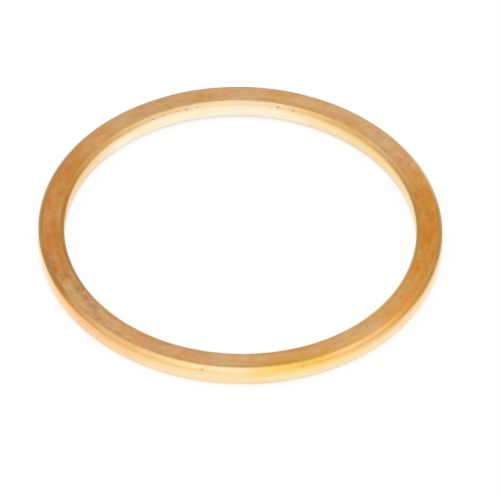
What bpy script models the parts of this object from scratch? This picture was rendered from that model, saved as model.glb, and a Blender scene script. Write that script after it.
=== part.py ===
"""Exhaust pipe gasket: one flat solid copper ring, turned all over.

Lengths are in metres. The ring lies flat round the Z axis, with its lower face at Z = 0. Its
section is a rectangle whose four corners are chamfered, so that it drops into a port's recess
without a burr, and each chamfer runs into the face and the wall that it meets in a small blend.
"""

import math

import bmesh
import bpy

# Driving dimensions
BORE_DIAMETER = 0.0384
RING_WIDTH = 0.00285
THICKNESS = 0.0025
BORE_CHAMFER = 0.00035
OUTER_CHAMFER = 0.0004
BORE_BLEND_RADIUS = 0.0001
OUTER_BLEND_RADIUS = 0.00012

# Distances from the axis that follow from them
BORE_RADIUS = BORE_DIAMETER / 2
MIDDLE_RADIUS = BORE_RADIUS + RING_WIDTH / 2
OUTER_RADIUS = BORE_RADIUS + RING_WIDTH

# The turn from a face or a wall to the chamfer beside it
CHAMFER_TURN = math.radians(45)

# How finely the round shapes are divided, and the least turn that shows as an edge
TURN_STEPS = 144
BLEND_SEGMENTS = 2
EDGE_TURN = math.radians(30)

# Bare copper, satin from the lathe
COPPER_COLOUR = (0.78, 0.47, 0.22, 1.0)
COPPER_METALLIC = 1.0
COPPER_ROUGHNESS = 0.35


def clear_scene():
    """Take away whatever the scene holds at the start."""
    for existing in list(bpy.data.objects):
        bpy.data.objects.remove(existing, do_unlink=True)


def copper():
    """Return the ring's material."""
    material = bpy.data.materials.new("copper")
    material.use_nodes = True
    shader = material.node_tree.nodes["Principled BSDF"]
    shader.inputs["Base Color"].default_value = COPPER_COLOUR
    shader.inputs["Metallic"].default_value = COPPER_METALLIC
    shader.inputs["Roughness"].default_value = COPPER_ROUGHNESS
    return material


def draw_square_section(section):
    """Draw the ring's section with its corners still square, as a face in the XZ plane at +X."""
    corners = ((BORE_RADIUS, 0), (OUTER_RADIUS, 0), (OUTER_RADIUS, THICKNESS), (BORE_RADIUS, THICKNESS))
    section.faces.new([section.verts.new((radius, 0, height)) for radius, height in corners])


def bore_corners(section):
    """Return the section's corners on the side of the bore."""
    return [corner for corner in section.verts if corner.co.x < MIDDLE_RADIUS]


def outer_corners(section):
    """Return the section's corners on the side of the outer wall."""
    return [corner for corner in section.verts if corner.co.x > MIDDLE_RADIUS]


def cut_corners(section, corners, setback, segments):
    """Cut corners off the section, each from a setback along both of its sides."""
    bmesh.ops.bevel(
        section,
        geom=corners,
        offset=setback,
        offset_type="OFFSET",
        segments=segments,
        profile=0.5,
        material=-1,
        affect="VERTICES",
    )


def break_corners(section, corners_of, chamfer, blend_radius):
    """Chamfer the corners that corners_of returns, then round the two corners that each one leaves."""
    cut_corners(section, corners_of(section), chamfer, segments=1)
    blend_setback = blend_radius * math.tan(CHAMFER_TURN / 2)
    cut_corners(section, corners_of(section), blend_setback, segments=BLEND_SEGMENTS)


def turn_outline(section):
    """Turn the section's outline once round the Z axis, into a closed surface that faces outwards."""
    bmesh.ops.delete(section, geom=list(section.faces), context="FACES_ONLY")
    bmesh.ops.spin(
        section,
        geom=list(section.verts) + list(section.edges),
        cent=(0, 0, 0),
        axis=(0, 0, 1),
        angle=math.tau,
        steps=TURN_STEPS,
        use_merge=True,
    )
    bmesh.ops.recalc_face_normals(section, faces=list(section.faces))


def make_gasket_ring():
    """Make the gasket, shaded smooth round its turns and crisp along its edges."""
    section = bmesh.new()
    draw_square_section(section)
    break_corners(section, bore_corners, BORE_CHAMFER, BORE_BLEND_RADIUS)
    break_corners(section, outer_corners, OUTER_CHAMFER, OUTER_BLEND_RADIUS)
    turn_outline(section)
    mesh = bpy.data.meshes.new("gasket_ring")
    section.to_mesh(mesh)
    section.free()
    mesh.materials.append(copper())
    mesh.shade_smooth()
    mesh.set_sharp_from_angle(angle=EDGE_TURN)
    bpy.context.scene.collection.objects.link(bpy.data.objects.new("gasket_ring", mesh))


clear_scene()
make_gasket_ring()
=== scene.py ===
"""Looks of the exhaust pipe gasket: one flat ring of bare turned copper on a white studio floor.

Lengths are in metres, unless a name says millimetres. The ring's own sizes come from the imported
frame, and its fine sizes, such as the chamfers and the pits, are fields of its class. A bearing is
an angle round the ring in degrees, from +X towards +Y, so that in the photograph 0 is the right side,
90 the far side, 180 the left side and 270 the near side.
"""

from __future__ import annotations

import logging
import math
import random
from dataclasses import dataclass, field, replace
from enum import Enum

import bmesh
import bpy
from bmesh.types import BMesh, BMFace, BMLayerItem
from bpy.types import Material, Node, NodeSocket, NodeTree, Object
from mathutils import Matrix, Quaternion, Vector, noise


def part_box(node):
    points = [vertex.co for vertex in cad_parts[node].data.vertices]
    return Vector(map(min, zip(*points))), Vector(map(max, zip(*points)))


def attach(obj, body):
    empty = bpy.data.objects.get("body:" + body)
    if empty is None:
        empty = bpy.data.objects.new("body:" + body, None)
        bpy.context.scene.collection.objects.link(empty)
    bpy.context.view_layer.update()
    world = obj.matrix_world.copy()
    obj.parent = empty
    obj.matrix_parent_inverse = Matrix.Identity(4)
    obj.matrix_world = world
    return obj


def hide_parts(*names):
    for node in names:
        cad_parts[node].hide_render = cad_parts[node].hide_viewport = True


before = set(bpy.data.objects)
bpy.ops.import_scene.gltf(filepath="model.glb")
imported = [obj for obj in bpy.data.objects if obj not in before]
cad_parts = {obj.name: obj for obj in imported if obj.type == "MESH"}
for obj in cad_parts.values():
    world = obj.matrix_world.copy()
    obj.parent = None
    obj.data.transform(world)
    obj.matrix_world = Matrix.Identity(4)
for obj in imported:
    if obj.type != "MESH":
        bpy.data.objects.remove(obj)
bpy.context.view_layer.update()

LOG = logging.getLogger("gasket")
RING_NODE = "gasket_ring"
BODY = "root"
PIECE = "copper_gasket_ring"
MM = 0.001
WHITE = "ffffff"

Colour = tuple[float, float, float, float]
Triple = tuple[float, float, float]


def linear(hex_colour: str) -> Colour:
    """Turn an sRGB hex colour into the linear colour that a shader takes.

    Args:
        hex_colour: Six hex digits.

    Returns:
        Red, green, blue and an alpha of one.
    """
    parts = [int(hex_colour[start : start + 2], 16) / 255 for start in (0, 2, 4)]
    channels = [part / 12.92 if part <= 0.04045 else ((part + 0.055) / 1.055) ** 2.4 for part in parts]
    return channels[0], channels[1], channels[2], 1.0


def add_node(
    tree: NodeTree,
    kind: str,
    inputs: dict[str | int, object] | None = None,
    **settings: object,
) -> Node:
    """Add a node with its settings, and give each of its inputs a constant or a link.

    Args:
        tree: The node tree that gets the node.
        kind: The node's type, such as ShaderNodeMath.
        inputs: For an input's name or number, a constant or the output to link to it.
        settings: The node's own properties.

    Returns:
        The new node.
    """
    node = tree.nodes.new(kind)
    for name, value in settings.items():
        setattr(node, name, value)
    for key, value in (inputs or {}).items():
        if isinstance(value, NodeSocket):
            tree.links.new(value, node.inputs[key])
        else:
            node.inputs[key].default_value = value
    return node


class Across(Enum):
    """The way in which a turned surface is crossed, square to its tool marks."""

    RADIUS = "radius"
    HEIGHT = "height"


@dataclass
class RingPlaces:
    """A point's place on the ring as sockets of one material: its bearing, and how far across it lies."""

    ring: GasketRing
    tree: NodeTree
    across: Across
    turn: tuple[NodeSocket, NodeSocket] = field(init=False)
    crossing: NodeSocket = field(init=False)

    def __post_init__(self) -> None:
        """Split the object's own coordinates into a bearing and a distance across, in millimetres."""
        place = add_node(self.tree, "ShaderNodeTexCoord").outputs["Object"]
        mm = add_node(
            self.tree, "ShaderNodeVectorMath", {0: place, "Scale": 1 / MM}, operation="SCALE"
        ).outputs[0]
        parts = add_node(self.tree, "ShaderNodeSeparateXYZ", {0: mm}).outputs
        flat = add_node(
            self.tree, "ShaderNodeCombineXYZ", {"X": parts["X"], "Y": parts["Y"]}
        ).outputs[0]
        unit = add_node(self.tree, "ShaderNodeVectorMath", {0: flat}, operation="NORMALIZE").outputs[0]
        radius = add_node(self.tree, "ShaderNodeVectorMath", {0: flat}, operation="LENGTH")
        turn = add_node(self.tree, "ShaderNodeSeparateXYZ", {0: unit}).outputs
        self.turn = (turn["X"], turn["Y"])
        self.crossing = radius.outputs["Value"] if self.across is Across.RADIUS else parts["Z"]

    @property
    def start_mm(self) -> float:
        """Where the crossing starts: at the bore's wall, or at the ring's lower face."""
        return self.ring.bore_radius / MM if self.across is Across.RADIUS else 0.0

    def stretched(self, length_mm: float, width_mm: float, shift: float = 0.0) -> NodeSocket:
        """Give coordinates that stretch a pattern round the ring, with no seam in them.

        Args:
            length_mm: The size of the pattern's features round the ring.
            width_mm: Their size across it.
            shift: Where in the pattern the ring lies, so that two patterns differ.

        Returns:
            The coordinates, in which a feature is about one unit each way.
        """
        reach = self.ring.middle_radius / MM / length_mm
        along = [
            add_node(self.tree, "ShaderNodeMath", {0: part, 1: reach}, operation="MULTIPLY").outputs[0]
            for part in self.turn
        ]
        over = add_node(
            self.tree,
            "ShaderNodeMath",
            {0: self.crossing, 1: 1 / width_mm, 2: shift},
            operation="MULTIPLY_ADD",
        ).outputs[0]
        return add_node(
            self.tree, "ShaderNodeCombineXYZ", {"X": along[0], "Y": along[1], "Z": over}
        ).outputs[0]

    def facing(self, bearing: float) -> NodeSocket:
        """Give how nearly each point lies at a bearing.

        Args:
            bearing: The bearing.

        Returns:
            The cosine of the angle between the point's bearing and the given one.
        """
        angle = math.radians(bearing)
        sideways = add_node(
            self.tree, "ShaderNodeMath", {0: self.turn[1], 1: math.sin(angle)}, operation="MULTIPLY"
        ).outputs[0]
        return add_node(
            self.tree,
            "ShaderNodeMath",
            {0: self.turn[0], 1: math.cos(angle), 2: sideways},
            operation="MULTIPLY_ADD",
        ).outputs[0]


@dataclass(frozen=True)
class Patches:
    """Soft patches that lie longer round the ring than across it, where a cloud passes its onset."""

    length_mm: float
    width_mm: float
    onset: float
    full: float
    shift: float
    detail: float = 2.0
    raggedness: float = 0.55
    distortion: float = 0.3

    def share(self, places: RingPlaces) -> NodeSocket:
        """Give how far each point lies inside a patch.

        Args:
            places: The points' places on the ring.

        Returns:
            A share from zero to one.
        """
        cloud = add_node(
            places.tree,
            "ShaderNodeTexNoise",
            {
                "Vector": places.stretched(self.length_mm, self.width_mm, self.shift),
                "Scale": 1.0,
                "Detail": self.detail,
                "Roughness": self.raggedness,
                "Distortion": self.distortion,
            },
        ).outputs["Fac"]
        return add_node(
            places.tree,
            "ShaderNodeMapRange",
            {"Value": cloud, "From Min": self.onset, "From Max": self.full},
            interpolation_type="SMOOTHSTEP",
        ).outputs[0]


@dataclass(frozen=True)
class Stretches:
    """Stretches of the ring round some bearings, which fade out within a reach to both sides.

    The reach is in degrees. Where inside is false, the bound lets a film lie all round but there.
    """

    bearings: tuple[float, ...]
    reach: float
    inside: bool = True

    def share(self, places: RingPlaces) -> NodeSocket:
        """Give how far each point lies inside the nearest stretch, or outside every stretch.

        Args:
            places: The points' places on the ring.

        Returns:
            A share from zero to one.
        """
        nearest = places.facing(self.bearings[0])
        for bearing in self.bearings[1:]:
            nearest = add_node(
                places.tree,
                "ShaderNodeMath",
                {0: nearest, 1: places.facing(bearing)},
                operation="MAXIMUM",
            ).outputs[0]
        return add_node(
            places.tree,
            "ShaderNodeMapRange",
            {
                "Value": nearest,
                "From Min": math.cos(math.radians(self.reach)),
                "From Max": 1.0,
                "To Min": 0.0 if self.inside else 1.0,
                "To Max": 1.0 if self.inside else 0.0,
            },
            interpolation_type="SMOOTHSTEP",
        ).outputs[0]


@dataclass(frozen=True)
class Side:
    """One side of a surface, which sets in gently between two lines across it.

    The lines lie outwards from the bore's wall on the faces and the chamfers, and upwards from the
    ring's lower face on the walls.
    """

    none_mm: float
    all_mm: float

    def share(self, places: RingPlaces) -> NodeSocket:
        """Give how far each point lies towards that side.

        Args:
            places: The points' places on the ring.

        Returns:
            A share from zero to one.
        """
        return add_node(
            places.tree,
            "ShaderNodeMapRange",
            {
                "Value": places.crossing,
                "From Min": places.start_mm + self.none_mm,
                "From Max": places.start_mm + self.all_mm,
            },
            interpolation_type="SMOOTHSTEP",
        ).outputs[0]


# The half of the ring next to its bore, the half next to its outer wall, and the upper half of a wall
TOWARDS_BORE = Side(none_mm=1.8, all_mm=1.3)
TOWARDS_OUTSIDE = Side(none_mm=1.3, all_mm=1.8)
UPPER_WALL = Side(none_mm=1.2, all_mm=2.0)


@dataclass(frozen=True)
class Pitted:
    """The pits of a piece, deepest in their middles, from the attribute that their making leaves."""

    attribute: str

    def share(self, places: RingPlaces) -> NodeSocket:
        """Give how far each point lies inside a pit.

        Args:
            places: The points' places on the ring.

        Returns:
            A share from zero to one.
        """
        return add_node(places.tree, "ShaderNodeAttribute", attribute_name=self.attribute).outputs["Fac"]


@dataclass(frozen=True)
class OxideAndPaintedLight:
    """A tint over the copper where all its bounds let it lie; some are oxide films, others painted light
    and shade.
    """

    colour: str
    bounds: tuple[Patches | Stretches | Side | Pitted, ...]
    most: float = 1.0

    def share(self, places: RingPlaces) -> NodeSocket | float:
        """Give how much of the tint each point has.

        Args:
            places: The points' places on the ring.

        Returns:
            A share from zero to the tint's most.
        """
        share: NodeSocket | float = self.most
        for bound in self.bounds:
            share = add_node(
                places.tree, "ShaderNodeMath", {0: bound.share(places), 1: share}, operation="MULTIPLY"
            ).outputs[0]
        return share


# Oxide that has settled in the pits, where no tool or hand rubs it off: a dull olive brown
PITS = Pitted("pit_oxide")
PIT_OXIDE = OxideAndPaintedLight("dfd2b0", bounds=(PITS,))


@dataclass(frozen=True)
class TurnedCopper:
    """Bare copper cut on a lathe: a warm metal with fine marks that run round the ring. Its base and tints
    hold painted light and shade as well as the copper's own colour.

    A real tool leaves its marks about 0.05 mm apart, which is too fine to show in the render, so they
    are drawn two to six times as far apart. The streak turn is a share of a whole turn: a quarter
    lays the streaks of light across the marks.
    """

    name: str
    base: str
    oxide_and_painted_light: tuple[OxideAndPaintedLight, ...]
    across: Across
    roughness: float
    roughness_spread: float
    anisotropy: float
    mark_pitch_mm: float
    mark_length_mm: float
    mark_depth_mm: float
    mark_contrast: float
    mark_detail: float = 3.0
    mark_raggedness: float = 0.6
    mark_hollow: float = 0.3
    mark_crest: float = 0.7
    streak_turn: float = 0.25

    def tinted(self, places: RingPlaces, shade: NodeSocket) -> NodeSocket:
        """Filter the plain copper through the shade of the tool marks, and then through each tint: the
        oxide films, and the painted light and shade.

        Args:
            places: The points' places on the ring.
            shade: How bright the tool marks leave each point.

        Returns:
            The colour.
        """
        oxide_and_painted_light = self.oxide_and_painted_light + (PIT_OXIDE,)
        layers = [(1.0, shade)] + [(toning.share(places), linear(toning.colour)) for toning in oxide_and_painted_light]
        colour: object = linear(self.base)
        for share, tint in layers:
            colour = add_node(
                places.tree,
                "ShaderNodeMix",
                {"Factor": share, "A": colour, "B": tint},
                data_type="RGBA",
                blend_type="MULTIPLY",
            ).outputs["Result"]
        return colour

    def marks(self, places: RingPlaces) -> NodeSocket:
        """Draw the tool marks.

        Args:
            places: The points' places on the ring.

        Returns:
            The marks' height, mostly between the finish's hollow and crest.
        """
        return add_node(
            places.tree,
            "ShaderNodeTexNoise",
            {
                "Vector": places.stretched(self.mark_length_mm, self.mark_pitch_mm),
                "Scale": 1.0,
                "Detail": self.mark_detail,
                "Roughness": self.mark_raggedness,
            },
        ).outputs["Fac"]

    def by_mark(self, places: RingPlaces, marks: NodeSocket, low: float, high: float) -> NodeSocket:
        """Give a value that follows the tool marks.

        Args:
            places: The points' places on the ring.
            marks: The marks' height.
            low: The value in their hollows.
            high: The value on their crests.

        Returns:
            The value.
        """
        return add_node(
            places.tree,
            "ShaderNodeMapRange",
            {
                "Value": marks,
                "From Min": self.mark_hollow,
                "From Max": self.mark_crest,
                "To Min": low,
                "To Max": high,
            },
        ).outputs[0]

    def material(self, ring: GasketRing) -> Material:
        """Make the finish's material.

        Args:
            ring: The ring that it goes on, from whose axis and bore it takes its places.

        Returns:
            The material.
        """
        made = bpy.data.materials.new(self.name)
        made.use_nodes = True
        tree = made.node_tree
        shader = tree.nodes["Principled BSDF"]
        places = RingPlaces(ring, tree, self.across)
        marks = self.marks(places)
        shade = self.by_mark(places, marks, 1 - self.mark_contrast, 1.0)
        low, high = self.roughness + self.roughness_spread, self.roughness - self.roughness_spread
        links = {
            "Base Color": self.tinted(places, shade),
            "Roughness": self.by_mark(places, marks, low, high),
            "Normal": add_node(
                tree, "ShaderNodeBump", {"Height": marks, "Distance": self.mark_depth_mm * MM}
            ).outputs[0],
            "Tangent": add_node(tree, "ShaderNodeTangent", direction_type="RADIAL", axis="Z").outputs[0],
        }
        for name, socket in links.items():
            tree.links.new(socket, shader.inputs[name])
        shader.inputs["Metallic"].default_value = 1.0
        shader.inputs["Anisotropic"].default_value = self.anisotropy
        shader.inputs["Anisotropic Rotation"].default_value = self.streak_turn
        return made


# Copper faced off with a broad tool and left bare: satin, with a thin oxide that goes from orange through
# straw to a pinkish grey in small patches. Its tints also paint in shade, deepest at the left and right
# sides, and a painted gleam at the lower right.
FACED_COPPER = TurnedCopper(
    name="copper_faced",
    base="f8c48c",
    oxide_and_painted_light=(
        # Painted highlight: a dull tint all over, but for the outer half of a stretch at the lower right,
        # which is left bright as a painted gleam
        OxideAndPaintedLight("f4fafd", bounds=(Stretches((316,), reach=26, inside=False),)),
        OxideAndPaintedLight("f4fafd", bounds=(Stretches((316,), reach=26), TOWARDS_BORE)),
        # Painted shade: deeper orange at the left side, and gold towards the right side
        OxideAndPaintedLight("f1d8b0", bounds=(Stretches((162, 190), reach=20),)),
        OxideAndPaintedLight("fae5a4", bounds=(Stretches((354, 10), reach=20),)),
        OxideAndPaintedLight("fdf1cc", bounds=(Stretches((332,), reach=18),)),
        OxideAndPaintedLight("fef4da", bounds=(Stretches((325,), reach=12), Side(1.4, 2.0))),
        # Slight changes of tint on the way round, some of them on one side of the face only
        OxideAndPaintedLight("fff9ee", bounds=(Stretches((234, 252, 290), reach=16),)),
        OxideAndPaintedLight("f0efec", bounds=(Stretches((209,), reach=16), Side(1.7, 1.2), Side(0.7, 1.0))),
        OxideAndPaintedLight("f5f3f2", bounds=(Stretches((115,), reach=28),)),
        OxideAndPaintedLight("fcf4be", bounds=(Stretches((290,), reach=22), Side(1.2, 2.1))),
        OxideAndPaintedLight("fff2e2", bounds=(Stretches((176, 354), reach=12), Side(1.8, 2.1))),
        OxideAndPaintedLight("fffaec", bounds=(Stretches((48, 64, 140), reach=14), Side(1.1, 0.7))),
        OxideAndPaintedLight("fdf4e6", bounds=(Stretches((141,), reach=10),)),
        OxideAndPaintedLight("f8f4f4", bounds=(Stretches((270,), reach=80), Side(1.0, 0.6))),
        OxideAndPaintedLight("f0fbfa", bounds=(Stretches((268,), reach=24), Side(1.9, 2.25))),
        OxideAndPaintedLight("f6eee0", bounds=(Stretches((75,), reach=14), Side(1.1, 0.7))),
        # Small patches of straw, pink and green, which mottle the whole face
        OxideAndPaintedLight("fff3d6", most=0.9, bounds=(Patches(2.4, 1.3, onset=0.42, full=0.62, shift=3),)),
        OxideAndPaintedLight("fff1f1", most=0.9, bounds=(Patches(2.0, 1.1, onset=0.42, full=0.62, shift=17),)),
        OxideAndPaintedLight("f4fef4", most=0.6, bounds=(Patches(1.8, 1.0, onset=0.42, full=0.62, shift=31),)),
        OxideAndPaintedLight("f2eeea", most=0.35, bounds=(Patches(1.0, 0.5, onset=0.44, full=0.6, shift=71),)),
        # Patches that lie on a few stretches only
        OxideAndPaintedLight(
            "ebe8e4",
            most=0.9,
            bounds=(
                Patches(0.9, 0.5, onset=0.46, full=0.58, shift=83),
                Stretches((212,), reach=22),
            ),
        ),
        OxideAndPaintedLight(
            "ffedcc",
            most=0.9,
            bounds=(
                Patches(2.2, 1.2, onset=0.44, full=0.6, shift=47),
                Stretches((177, 355), reach=40),
            ),
        ),
        OxideAndPaintedLight(
            "f4ecfa",
            most=0.9,
            bounds=(
                Patches(1.6, 1.0, onset=0.46, full=0.6, shift=59),
                Stretches((225, 20), reach=50),
            ),
        ),
    ),
    across=Across.RADIUS,
    roughness=0.36,
    roughness_spread=0.04,
    anisotropy=0.5,
    mark_pitch_mm=0.2,
    mark_length_mm=12.0,
    mark_depth_mm=0.002,
    mark_contrast=0.08,
)

# Chamfers cut last with a sharp tool: smoother than the face, so they catch the light, and with a paler
# base that is partly a brighter finish and partly painted light
CHAMFERED_COPPER = TurnedCopper(
    name="copper_chamfered",
    base="fed6c0",
    oxide_and_painted_light=(
        # Painted highlight: a dull tint all over, but for the same gleaming stretch at the lower right,
        # where only the outer rim has it
        OxideAndPaintedLight("ebfbf9", bounds=(Stretches((311,), reach=22, inside=False),)),
        OxideAndPaintedLight("fff5dc", bounds=(Stretches((309,), reach=16, inside=False),)),
        OxideAndPaintedLight("ebf0ea", bounds=(Stretches((311,), reach=22), Side(2.64, 2.74))),
        # Painted shade and painted highlight: straw and orange towards the left and right sides, and gold
        # at the near side
        OxideAndPaintedLight("fff2c2", bounds=(Stretches((180, 356), reach=85),)),
        OxideAndPaintedLight("f7e1ce", bounds=(Stretches((180,), reach=52),)),
        OxideAndPaintedLight("f7e1ce", bounds=(Stretches((352,), reach=46),)),
        OxideAndPaintedLight("fffcd9", bounds=(Stretches((308,), reach=42),)),
        OxideAndPaintedLight("f5f4c0", bounds=(Stretches((287,), reach=16),)),
        OxideAndPaintedLight("fff8f2", bounds=(Stretches((228,), reach=34),)),
        OxideAndPaintedLight("fff8f0", bounds=(Stretches((290,), reach=18),)),
        OxideAndPaintedLight("fffff0", bounds=(Stretches((252,), reach=14),)),
        OxideAndPaintedLight("f9f7f6", bounds=(Stretches((300,), reach=20),)),
        # Tints that mostly keep to one of the two chamfers, or to a part of it; the grey ones at the left
        # and right sides are painted shade
        OxideAndPaintedLight("fffcec", bounds=(Stretches((240,), reach=26), Side(2.5, 2.25))),
        OxideAndPaintedLight("f0f2f4", bounds=(Stretches((95,), reach=60),)),
        OxideAndPaintedLight("fdf0d2", bounds=(Stretches((60,), reach=18), TOWARDS_BORE)),
        OxideAndPaintedLight("dee4ea", bounds=(Stretches((162,), reach=38), TOWARDS_OUTSIDE)),
        OxideAndPaintedLight("f2f0f2", bounds=(Stretches((200,), reach=14), TOWARDS_OUTSIDE)),
        OxideAndPaintedLight("e9eee6", bounds=(Stretches((2,), reach=18), TOWARDS_OUTSIDE)),
        OxideAndPaintedLight("edf3dc", bounds=(Stretches((268,), reach=24), Side(2.5, 2.34))),
        OxideAndPaintedLight("fff0e0", bounds=(Stretches((186,), reach=18), Side(2.5, 2.34))),
        OxideAndPaintedLight("f2ece0", bounds=(Stretches((86,), reach=34), Side(0.3, 0.44))),
        OxideAndPaintedLight("faf0e4", bounds=(Stretches((166,), reach=16), TOWARDS_BORE)),
        OxideAndPaintedLight("e8e9ec", bounds=(Stretches((202,), reach=14), Side(2.75, 2.55))),
        OxideAndPaintedLight("dee4e2", bounds=(Stretches((200,), reach=38), TOWARDS_BORE)),
        OxideAndPaintedLight("eceeee", bounds=(Stretches((0,), reach=30), TOWARDS_BORE)),
        # Faint long patches
        OxideAndPaintedLight("faf2e6", most=0.7, bounds=(Patches(4.0, 1.0, onset=0.42, full=0.66, shift=5),)),
    ),
    across=Across.RADIUS,
    roughness=0.28,
    roughness_spread=0.03,
    anisotropy=0.3,
    mark_pitch_mm=0.1,
    mark_length_mm=9.0,
    mark_depth_mm=0.0004,
    mark_contrast=0.05,
)

# The outer wall, turned to size: copper that mirrors what it stands on, with a base paler than the face
# that paints in the white floor's reflection
TURNED_COPPER = TurnedCopper(
    name="copper_turned",
    base="ffeac4",
    oxide_and_painted_light=(
        # Painted light and shade: darker at the left and right sides, a painted warm reflection at the near
        # right, and tints that change towards the top, the bottom and the near side
        OxideAndPaintedLight("fff9ee", bounds=(Side(0.5, 1.2),)),
        OxideAndPaintedLight("f8f8f4", bounds=(Side(1.6, 2.05),)),
        OxideAndPaintedLight("ffecea", bounds=(Stretches((222,), reach=22),)),
        OxideAndPaintedLight("ffedd0", bounds=(UPPER_WALL, Stretches((225, 315), reach=45))),
        OxideAndPaintedLight("f8ede0", bounds=(UPPER_WALL, Stretches((332,), reach=34))),
        OxideAndPaintedLight("fbf5e2", bounds=(Side(0.8, 0.3),)),
        OxideAndPaintedLight("f8eede", bounds=(Stretches((180, 0), reach=11),)),
        OxideAndPaintedLight("fdf8e4", bounds=(UPPER_WALL, Stretches((240,), reach=16))),
        OxideAndPaintedLight("ffffd0", bounds=(Side(0.9, 1.8), Stretches((288,), reach=24))),
        OxideAndPaintedLight("fff4e6", most=0.8, bounds=(Patches(4.0, 0.9, onset=0.42, full=0.66, shift=9),)),
    ),
    across=Across.HEIGHT,
    roughness=0.28,
    roughness_spread=0.03,
    anisotropy=0.5,
    mark_pitch_mm=0.3,
    mark_length_mm=12.0,
    mark_depth_mm=0.00015,
    mark_contrast=0.04,
)

# The bore: the palest copper on the ring, a paler base that paints in the reflection of the bright floor
# inside the ring
BORED_COPPER = replace(
    TURNED_COPPER,
    name="copper_bored",
    base="fff4e6",
    oxide_and_painted_light=(
        # Painted light and shade: a grey line along the foot of the wall, where it mirrors the shadow under
        # the ring; darker at the left and right sides; and warmer tints towards the back left and back
        # right
        OxideAndPaintedLight("f2f4f4", bounds=(Side(0.8, 0.4),)),
        OxideAndPaintedLight("fffdee", bounds=(Side(0.5, 1.2),)),
        OxideAndPaintedLight("faf4e6", bounds=(Side(1.6, 2.05),)),
        OxideAndPaintedLight("f6e8d4", bounds=(Stretches((178, 358), reach=11),)),
        OxideAndPaintedLight("fcebc8", bounds=(Stretches((37,), reach=45),)),
        OxideAndPaintedLight("f7e7ca", bounds=(Stretches((163,), reach=30),)),
        OxideAndPaintedLight("ffecd2", bounds=(Side(1.4, 2.1), Stretches((40, 158), reach=42))),
        OxideAndPaintedLight("f4e4d4", bounds=(Side(1.6, 2.1), Stretches((170,), reach=20))),
        OxideAndPaintedLight("fffaec", most=0.8, bounds=(Patches(4.0, 0.9, onset=0.42, full=0.66, shift=13),)),
    ),
)


class Zone(Enum):
    """The surfaces of the ring, each with a finish of its own."""

    FACE = 0
    CHAMFER = 1
    OUTER_WALL = 2
    BORE_WALL = 3


ZONE_FINISHES = {
    Zone.FACE: FACED_COPPER,
    Zone.CHAMFER: CHAMFERED_COPPER,
    Zone.OUTER_WALL: TURNED_COPPER,
    Zone.BORE_WALL: BORED_COPPER,
}


@dataclass(frozen=True)
class Pit:
    """A small round pit in the copper, on the wall or chamfer nearest to its place."""

    bearing: float
    outside: bool
    height_mm: float
    width_mm: float
    depth_mm: float


# The pits that show in the photograph as dark specks near the upper edge of both walls
SEEN_PITS = (
    Pit(bearing=78.5, outside=False, height_mm=2.2, width_mm=0.48, depth_mm=0.02),
    Pit(bearing=73.2, outside=False, height_mm=2.14, width_mm=0.42, depth_mm=0.018),
    Pit(bearing=74.8, outside=False, height_mm=2.2, width_mm=0.2, depth_mm=0.01),
    Pit(bearing=105.2, outside=False, height_mm=2.2, width_mm=0.24, depth_mm=0.01),
    Pit(bearing=108.8, outside=False, height_mm=2.2, width_mm=0.44, depth_mm=0.015),
    Pit(bearing=111.8, outside=False, height_mm=2.24, width_mm=0.26, depth_mm=0.01),
    Pit(bearing=116.8, outside=False, height_mm=2.28, width_mm=0.34, depth_mm=0.01),
    Pit(bearing=120.8, outside=False, height_mm=2.24, width_mm=0.24, depth_mm=0.01),
    Pit(bearing=152.8, outside=False, height_mm=2.2, width_mm=0.3, depth_mm=0.015),
    Pit(bearing=260.0, outside=True, height_mm=2.2, width_mm=0.44, depth_mm=0.014),
    Pit(bearing=249.2, outside=True, height_mm=2.0, width_mm=0.16, depth_mm=0.02),
    Pit(bearing=226.0, outside=True, height_mm=2.3, width_mm=0.2, depth_mm=0.02),
    Pit(bearing=288.8, outside=True, height_mm=2.2, width_mm=0.2, depth_mm=0.02),
    Pit(bearing=333.8, outside=True, height_mm=2.1, width_mm=0.2, depth_mm=0.02),
)


def in_order(shape: BMesh) -> BMesh:
    """Make a shape anew in a fixed order, because bevel and spin leave it in one that varies.

    Without this, the faces round the pits would be divided differently from run to run.

    Args:
        shape: The shape, which is freed.

    Returns:
        The same shape, with its corners, edges and faces in the same order on every run.
    """
    corners = sorted(shape.verts, key=lambda corner: tuple(corner.co))
    places = {corner: place for place, corner in enumerate(corners)}
    borders = [[places[corner] for corner in face.verts] for face in shape.faces]
    ordered = bmesh.new()
    twins = [ordered.verts.new(corner.co) for corner in corners]
    for border in sorted(borders, key=sorted):
        ordered.faces.new([twins[place] for place in border])
    shape.free()
    ordered.normal_update()
    return ordered


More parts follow.
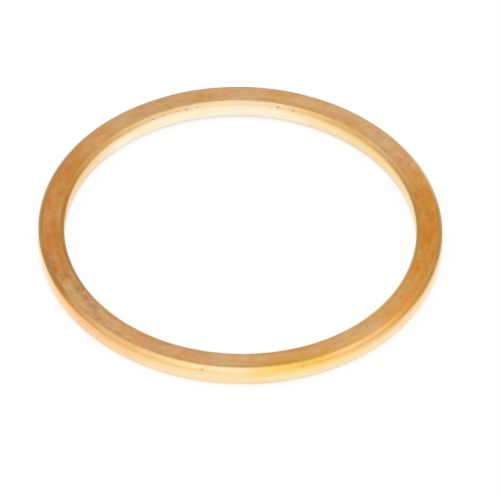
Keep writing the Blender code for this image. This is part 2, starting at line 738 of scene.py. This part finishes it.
@dataclass
class GasketRing:
    """The gasket: a solid ring whose four edges are chamfered and eased.

    The chamfers' slope and the tilt up to which a surface counts as flat are in degrees. The width of
    a chamfer wanders by a share of itself, in waves with finer and weaker ripples on them, and each
    of the four chamfers reads its waves from a lane of its own. The faces round a pit are divided
    finely, out to a margin times its half width.
    """

    outer_radius: float
    bore_radius: float
    thickness: float
    chamfer_slope: float = 45.0
    bore_chamfer: float = 0.35 * MM
    outer_chamfer: float = 0.4 * MM
    bore_blend: float = 0.26 * MM
    outer_blend: float = 0.3 * MM
    turn_steps: int = 720
    blend_segments: int = 4
    row_height: float = 0.3 * MM
    wander: float = 0.07
    wander_length: float = 4.0 * MM
    ripple_finer: float = 5.0
    ripple_weaker: float = 3.0
    lane_gap: float = 10.0
    flat_tilt: float = 4.0
    pit_cuts: int = 5
    pit_margin: float = 1.5
    spare_pits: int = 26
    spare_pit_seed: int = 7
    spare_pits_outside_share: float = 0.5
    spare_pit_heights_mm: tuple[float, float] = (0.5, 1.9)
    spare_pit_widths_mm: tuple[float, float] = (0.08, 0.14)
    spare_pit_depths_mm: tuple[float, float] = (0.01, 0.03)

    @classmethod
    def from_frame(cls) -> GasketRing:
        """Read the ring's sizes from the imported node.

        Returns:
            The ring, with its fine sizes as they are by default.
        """
        low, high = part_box(RING_NODE)
        distances = [vertex.co.xy.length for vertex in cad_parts[RING_NODE].data.vertices]
        return cls(outer_radius=max(distances), bore_radius=min(distances), thickness=high.z - low.z)

    @property
    def middle_radius(self) -> float:
        """The radius halfway across the ring's face."""
        return (self.outer_radius + self.bore_radius) / 2

    def cut_corners(self, section: BMesh, outside: bool, setback: float, segments: int) -> None:
        """Cut the section's corners back on one side of the ring.

        Args:
            section: The section, as one face.
            outside: Whether the outer corners are cut, and not the bore's.
            setback: How far back from a corner each cut starts.
            segments: How many straight pieces stand for the cut.
        """
        corners = [v for v in section.verts if (v.co.x > self.middle_radius) == outside]
        bmesh.ops.bevel(
            section,
            geom=corners,
            offset=setback,
            offset_type="OFFSET",
            segments=segments,
            profile=0.5,
            material=-1,
            affect="VERTICES",
        )

    def outline(self) -> BMesh:
        """Draw the outline of the ring's section in the XZ plane, with its long sides in rows.

        Returns:
            The outline, as edges without a face.
        """
        section = bmesh.new()
        corners = (
            (self.bore_radius, 0),
            (self.outer_radius, 0),
            (self.outer_radius, self.thickness),
            (self.bore_radius, self.thickness),
        )
        section.faces.new([section.verts.new((radius, 0, height)) for radius, height in corners])
        for outside, chamfer, blend in (
            (False, self.bore_chamfer, self.bore_blend),
            (True, self.outer_chamfer, self.outer_blend),
        ):
            self.cut_corners(section, outside, chamfer, segments=1)
            setback = blend * math.tan(math.radians(self.chamfer_slope / 2))
            self.cut_corners(section, outside, setback, self.blend_segments)
        section = in_order(section)
        bmesh.ops.delete(section, geom=list(section.faces), context="FACES_ONLY")
        for side in list(section.edges):
            rows = round(side.calc_length() / self.row_height)
            if rows > 1:
                bmesh.ops.subdivide_edges(section, edges=[side], cuts=rows - 1)
        return section

    def turned(self) -> BMesh:
        """Turn the section's outline once round the Z axis.

        Returns:
            The ring, as a closed surface that faces outwards.
        """
        ring = self.outline()
        bmesh.ops.spin(
            ring,
            geom=list(ring.verts) + list(ring.edges),
            cent=(0, 0, 0),
            axis=(0, 0, 1),
            angle=math.tau,
            steps=self.turn_steps,
            use_merge=True,
        )
        bmesh.ops.recalc_face_normals(ring, faces=list(ring.faces))
        return in_order(ring)

    def wander_edges(self, ring: BMesh) -> None:
        """Let the width of each chamfer wander a little round the ring, as a hand-fed tool leaves it.

        Args:
            ring: The turned ring. A vertex keeps its bearing, and moves to or from the sharp corner
                that its chamfer took away, so that the face and the wall stay where they are.
        """
        reach = self.outer_chamfer + self.outer_blend
        for vertex in ring.verts:
            radius = vertex.co.xy.length
            outside = radius > self.middle_radius
            upper = vertex.co.z > self.thickness / 2
            wall = self.outer_radius if outside else self.bore_radius
            face = self.thickness if upper else 0.0
            if abs(radius - wall) > reach or abs(vertex.co.z - face) > reach:
                continue
            place = vertex.co * (1 / self.wander_length)
            lane = Vector((place.x, place.y, self.lane_gap * (outside + 2 * upper)))
            wave = self.wander * noise.noise(lane)
            ripple = self.wander / self.ripple_weaker * noise.noise(lane * self.ripple_finer)
            stretch = 1 + wave + ripple
            vertex.co.xy *= (wall + (radius - wall) * stretch) / radius
            vertex.co.z = face + (vertex.co.z - face) * stretch

    def pits(self) -> list[Pit]:
        """List the pits that show in the photograph, and smaller ones strewn lower on both walls.

        Returns:
            The pits, in the order in which they are sunk.
        """
        draw = random.Random(self.spare_pit_seed)
        spare = [
            Pit(
                bearing=draw.uniform(0, 360),
                outside=draw.random() < self.spare_pits_outside_share,
                height_mm=draw.uniform(*self.spare_pit_heights_mm),
                width_mm=draw.uniform(*self.spare_pit_widths_mm),
                depth_mm=draw.uniform(*self.spare_pit_depths_mm),
            )
            for _ in range(self.spare_pits)
        ]
        return list(SEEN_PITS) + spare

    def sink(self, ring: BMesh, pit: Pit, oxide: BMLayerItem) -> None:
        """Divide the faces round a pit finely, sink the pit into them and let oxide settle in it.

        Args:
            ring: The turned ring.
            pit: The pit.
            oxide: The vertex layer that says how much oxide there is.
        """
        angle = math.radians(pit.bearing)
        wall = self.outer_radius if pit.outside else self.bore_radius
        aim = Vector((wall * math.cos(angle), wall * math.sin(angle), pit.height_mm * MM))
        struck = min(ring.faces, key=lambda face: (face.calc_center_median() - aim).length_squared)
        inwards = -struck.normal
        centre = aim - inwards * (aim - struck.calc_center_median()).dot(inwards)
        half = pit.width_mm * MM / 2
        margin = self.pit_margin * half
        reached = [v for v in ring.verts if (v.co - centre).length_squared < margin**2]
        # These keep their order from run to run, which sets of them would not
        near = dict.fromkeys(face for corner in reached + list(struck.verts) for face in corner.link_faces)
        edges = list(dict.fromkeys(edge for face in near for edge in face.edges))
        bmesh.ops.subdivide_edges(ring, edges=edges, cuts=self.pit_cuts, use_grid_fill=True)
        for vertex in ring.verts:
            rim = (vertex.co - centre).length / half
            if rim < 1:
                vertex.co += inwards * (1 - rim**2) ** 2 * pit.depth_mm * MM
                vertex[oxide] = max(vertex[oxide], 1 - rim**2)

    def zone(self, face: BMFace) -> Zone:
        """Tell which surface of the ring a face of the mesh belongs to.

        Args:
            face: The face, before the chamfers' edges wander.

        Returns:
            The surface, from the face's slope and from the side of the ring that it lies on.
        """
        slope = math.degrees(math.asin(min(1.0, abs(face.normal.z))))
        if slope > 90 - self.flat_tilt:
            return Zone.FACE
        if slope > self.chamfer_slope / 2:
            return Zone.CHAMFER
        outside = face.calc_center_median().xy.length > self.middle_radius
        return Zone.OUTER_WALL if outside else Zone.BORE_WALL

    def make(self) -> Object:
        """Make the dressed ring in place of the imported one.

        Returns:
            The ring's object.
        """
        ring = self.turned()
        for face in ring.faces:
            face.smooth = True
            face.material_index = self.zone(face).value
        self.wander_edges(ring)
        ring.normal_update()
        oxide = ring.verts.layers.float.new(PITS.attribute)
        for pit in self.pits():
            self.sink(ring, pit, oxide)
        bmesh.ops.recalc_face_normals(ring, faces=list(ring.faces))
        mesh = bpy.data.meshes.new(PIECE)
        ring.to_mesh(mesh)
        ring.free()
        for zone in Zone:
            mesh.materials.append(ZONE_FINISHES[zone].material(self))
        piece = bpy.data.objects.new(PIECE, mesh)
        bpy.context.scene.collection.objects.link(piece)
        piece.modifiers.new("even_normals", "WEIGHTED_NORMAL")
        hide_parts(RING_NODE)
        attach(piece, BODY)
        LOG.info("%s: %d faces, rides on %s", piece.name, len(mesh.polygons), BODY)
        return piece


@dataclass(frozen=True)
class Softbox:
    """A square soft light that hangs off the ring in some direction and faces it."""

    name: str
    direction: Triple
    distance: float = 1.2
    side: float = 0.9
    watts: float = 3.0

    def hang(self) -> None:
        """Hang the light, unseen by the camera and in the metal."""
        lamp = bpy.data.lights.new(self.name, "AREA")
        lamp.shape = "SQUARE"
        lamp.size = self.side
        lamp.energy = self.watts
        holder = bpy.data.objects.new(self.name, lamp)
        away = Vector(self.direction).normalized()
        holder.location = away * self.distance
        holder.rotation_mode = "QUATERNION"
        holder.rotation_quaternion = away.to_track_quat("Z", "Y")
        holder.visible_camera = False
        holder.visible_glossy = False
        bpy.context.scene.collection.objects.link(holder)


SOFTBOXES = (
    Softbox("front_softbox", direction=(0.1, -0.7, 0.7)),
    Softbox("top_softbox", direction=(-0.3, 0.2, 1.0)),
)


@dataclass
class Studio:
    """The white floor, the soft white surround, the lamps and the camera.

    The contact values dim the floor a little where the ring touches it. The metal sees a surround
    that brightens from the horizon up to a height, with the light side's glow added to it.
    """

    floor_radius: float = 3.0
    floor_segments: int = 96
    floor_colour: str = "f6f6f6"
    floor_glow: float = 0.9
    floor_gap: float = 0.01 * MM
    contact_glow: float = 0.75
    contact_reach: float = 0.4 * MM
    contact_samples: int = 8
    ambient: float = 0.85
    surround_low: float = 0.62
    surround_high: float = 0.86
    surround_top: float = 0.8
    light_side: Triple = (0.1, -0.92, 0.375)
    light_glow: float = 0.68
    lens: float = 872.5
    clip_end: float = 10.0
    camera_distance: float = 1.3204
    camera_azimuth: float = math.radians(-0.067)
    camera_elevation: float = math.radians(45.124)
    camera_roll: float = math.radians(1.174)
    aim: Triple = (1.094 * MM, -2.463 * MM, 1.25 * MM)

    def add_floor(self) -> None:
        """Lay the floor just clear of the ring's lower face, so that neither shows through the other."""
        disc = bmesh.new()
        bmesh.ops.create_circle(
            disc, cap_ends=True, segments=self.floor_segments, radius=self.floor_radius
        )
        bmesh.ops.translate(disc, vec=(0, 0, -self.floor_gap), verts=disc.verts)
        mesh = bpy.data.meshes.new("studio_floor")
        disc.to_mesh(mesh)
        disc.free()
        mesh.materials.append(self.floor_material())
        floor = bpy.data.objects.new("studio_floor", mesh)
        bpy.context.scene.collection.objects.link(floor)

    def floor_material(self) -> Material:
        """Make the floor's matt white paper.

        Returns:
            A material that glows white to the camera and in the metal but for a soft line where the
            ring touches it, is plain paper to the light, and is clear from below.
        """
        made = bpy.data.materials.new("white_paper_floor")
        made.use_nodes = True
        tree = made.node_tree
        tree.nodes.remove(tree.nodes["Principled BSDF"])
        rays = add_node(tree, "ShaderNodeLightPath").outputs
        seen = rays["Is Camera Ray"]
        for way in ("Is Glossy Ray", "Is Transmission Ray"):
            seen = add_node(tree, "ShaderNodeMath", {0: seen, 1: rays[way]}, operation="MAXIMUM").outputs[0]
        openness = add_node(
            tree,
            "ShaderNodeAmbientOcclusion",
            {"Distance": self.contact_reach},
            samples=self.contact_samples,
        ).outputs["AO"]
        glow_here = add_node(
            tree,
            "ShaderNodeMapRange",
            {"Value": openness, "To Min": self.contact_glow, "To Max": self.floor_glow},
        ).outputs[0]
        share = add_node(tree, "ShaderNodeMath", {0: seen, 1: glow_here}, operation="MULTIPLY").outputs[0]
        paper = add_node(tree, "ShaderNodeBsdfDiffuse", {"Color": linear(self.floor_colour)}).outputs[0]
        glow = add_node(tree, "ShaderNodeEmission", {"Color": linear(WHITE), "Strength": 1.0}).outputs[0]
        mixed = add_node(tree, "ShaderNodeMixShader", {0: share, 1: paper, 2: glow}).outputs[0]
        below = add_node(tree, "ShaderNodeNewGeometry").outputs["Backfacing"]
        clear = add_node(tree, "ShaderNodeBsdfTransparent").outputs[0]
        surface = add_node(tree, "ShaderNodeMixShader", {0: below, 1: mixed, 2: clear}).outputs[0]
        tree.links.new(surface, tree.nodes["Material Output"].inputs["Surface"])
        return made

    def surround_in_metal(self, tree: NodeTree) -> NodeSocket:
        """Give how bright the surround looks in the metal.

        Args:
            tree: The world's node tree.

        Returns:
            The strength: soft from above, and brightest at the light side.
        """
        way = add_node(tree, "ShaderNodeTexCoord").outputs["Generated"]
        height = add_node(tree, "ShaderNodeSeparateXYZ", {0: way}).outputs["Z"]
        strength = add_node(
            tree,
            "ShaderNodeMapRange",
            {
                "Value": height,
                "From Min": 0.0,
                "From Max": self.surround_top,
                "To Min": self.surround_low,
                "To Max": self.surround_high,
            },
        ).outputs[0]
        light = Vector(self.light_side).normalized()
        facing = add_node(
            tree, "ShaderNodeVectorMath", {0: way, 1: tuple(light)}, operation="DOT_PRODUCT"
        ).outputs["Value"]
        lit = add_node(tree, "ShaderNodeMath", {0: facing, 1: 0.0}, operation="MAXIMUM").outputs[0]
        return add_node(
            tree, "ShaderNodeMath", {0: lit, 1: self.light_glow, 2: strength}, operation="MULTIPLY_ADD"
        ).outputs[0]

    def add_world(self) -> None:
        """Surround the ring with white for the eye, soft light for the floor and a studio for the metal."""
        world = bpy.data.worlds.new("studio_surround")
        world.use_nodes = True
        tree = world.node_tree
        rays = add_node(tree, "ShaderNodeLightPath").outputs
        plain = add_node(
            tree,
            "ShaderNodeMapRange",
            {"Value": rays["Is Camera Ray"], "To Min": self.ambient, "To Max": 1.0},
        ).outputs[0]
        strength = add_node(
            tree,
            "ShaderNodeMix",
            {"Factor": rays["Is Glossy Ray"], "A": plain, "B": self.surround_in_metal(tree)},
            data_type="FLOAT",
        ).outputs["Result"]
        background = tree.nodes["Background"]
        background.inputs["Color"].default_value = linear(WHITE)
        tree.links.new(strength, background.inputs["Strength"])
        bpy.context.scene.world = world

    def add_camera(self) -> None:
        """Set the camera up where the photograph was taken from."""
        data = bpy.data.cameras.new("camera")
        data.lens = self.lens
        data.clip_end = self.clip_end
        camera = bpy.data.objects.new("camera", data)
        back = Vector(
            (
                math.sin(self.camera_azimuth) * math.cos(self.camera_elevation),
                -math.cos(self.camera_azimuth) * math.cos(self.camera_elevation),
                math.sin(self.camera_elevation),
            )
        )
        camera.location = Vector(self.aim) + back * self.camera_distance
        camera.rotation_mode = "QUATERNION"
        level = (-back).to_track_quat("-Z", "Y")
        camera.rotation_quaternion = level @ Quaternion((0, 0, 1), self.camera_roll)
        bpy.context.scene.collection.objects.link(camera)
        bpy.context.scene.camera = camera

    def make(self) -> None:
        """Set up the whole studio."""
        self.add_floor()
        self.add_world()
        for softbox in SOFTBOXES:
            softbox.hang()
        self.add_camera()
        bpy.context.scene.view_settings.view_transform = "Standard"


def main() -> None:
    """Build the studio and the gasket."""
    logging.basicConfig(level=logging.INFO, format="%(message)s")
    Studio().make()
    GasketRing.from_frame().make()


if __name__ == "__main__":
    main()
